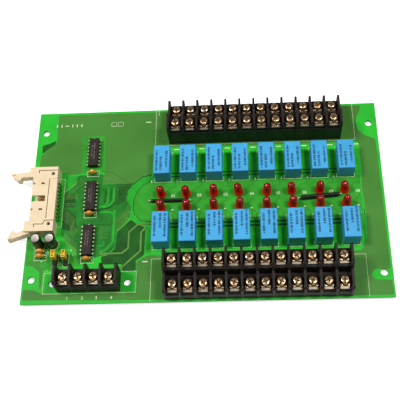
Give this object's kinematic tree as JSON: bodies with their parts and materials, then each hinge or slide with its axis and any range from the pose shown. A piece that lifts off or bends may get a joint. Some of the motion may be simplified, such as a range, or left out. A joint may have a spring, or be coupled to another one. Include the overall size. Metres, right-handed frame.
{
  "type": "relay module board",
  "caption": "Circuit board with two rows of relays and indicator lamps, two-tier barrier terminal blocks and a latched ribbon cable header.",
  "frame": {"origin": "centre of the four mounting holes, on the underside of the circuit board", "axes": "+Z out of the board's component side, +X along its length away from the ribbon cable header, +Y towards the edge with the two-tier block that faces away from the supply block"},
  "size_m": [0.2319, 0.132, 0.0243],
  "materials": {
    "solder_mask": "glossy solder mask over glass laminate",
    "header_plastic": "moulded, satin",
    "latch_plastic": "moulded, satin",
    "contact_metal": "plated",
    "tinned_lead": "tinned",
    "chip_epoxy": "moulded, matt",
    "orange_dip": "dipped",
    "can_aluminium": "satin",
    "shrink_sleeve": "shrunk sleeve",
    "bung_rubber": "matt",
    "jumper_plastic": "moulded",
    "shunt_plastic": "moulded",
    "relay_plastic": "moulded, satin",
    "relay_seal": "cast epoxy",
    "lamp_epoxy": "clear red",
    "terminal_plastic": "moulded",
    "terminal_plate": "nickel plated",
    "clamp_steel": "nickel plated",
    "screw_steel": "zinc plated, yellow",
    "link_insulation": "extruded sleeve"
  },
  "bodies": {
    "board": {"ceramic_capacitors": "orange_dip", "ceramic_leads": "tinned_lead", "chip_leads": "tinned_lead", "circuit_board": "solder_mask", "clamp_plates": "clamp_steel", "driver_chip_1": "chip_epoxy", "driver_chip_2": "chip_epoxy", "driver_chip_3": "chip_epoxy", "electrolytic_bungs": "bung_rubber", "electrolytic_cans": "can_aluminium", "electrolytic_leads": "tinned_lead", "electrolytic_sleeves": "shrink_sleeve", "header_housing": "header_plastic", "header_pins": "contact_metal", "jumper_bases": "jumper_plastic", "jumper_pins": "contact_metal", "jumper_shunts": "shunt_plastic", "lamp_leads": "tinned_lead", "link_sleeves": "link_insulation", "link_wires": "tinned_lead", "lower_block_housing": "terminal_plastic", "lower_lamps": "lamp_epoxy", "lower_terminals": "terminal_plate", "relay_bases": "relay_seal", "relay_cover_01": "relay_plastic", "relay_cover_02": "relay_plastic", "relay_cover_03": "relay_plastic", "relay_cover_04": "relay_plastic", "relay_cover_05": "relay_plastic", "relay_cover_06": "relay_plastic", "relay_cover_07": "relay_plastic", "relay_cover_08": "relay_plastic", "relay_cover_09": "relay_plastic", "relay_cover_10": "relay_plastic", "relay_cover_11": "relay_plastic", "relay_cover_12": "relay_plastic", "relay_cover_13": "relay_plastic", "relay_cover_14": "relay_plastic", "relay_cover_15": "relay_plastic", "relay_cover_16": "relay_plastic", "relay_pins": "tinned_lead", "supply_block_housing": "terminal_plastic", "supply_terminals": "terminal_plate", "terminal_screws": "screw_steel", "upper_block_housing": "terminal_plastic", "upper_lamps": "lamp_epoxy", "upper_terminals": "terminal_plate"},
    "rear_latch": {"rear_latch": "latch_plastic"},
    "front_latch": {"front_latch": "latch_plastic"}
  },
  "joints": [
    {"name": "rear_latch_pivot", "type": "hinge", "parent": "board", "child": "rear_latch", "pos_m": [-0.1032, 0.017, 0.0062], "axis": [0, 0, 1], "range_deg": [-35, 0]},
    {"name": "front_latch_pivot", "type": "hinge", "parent": "board", "child": "front_latch", "pos_m": [-0.1032, -0.0186, 0.0062], "axis": [0, 0, 1], "range_deg": [-28, 7]}
  ]
}
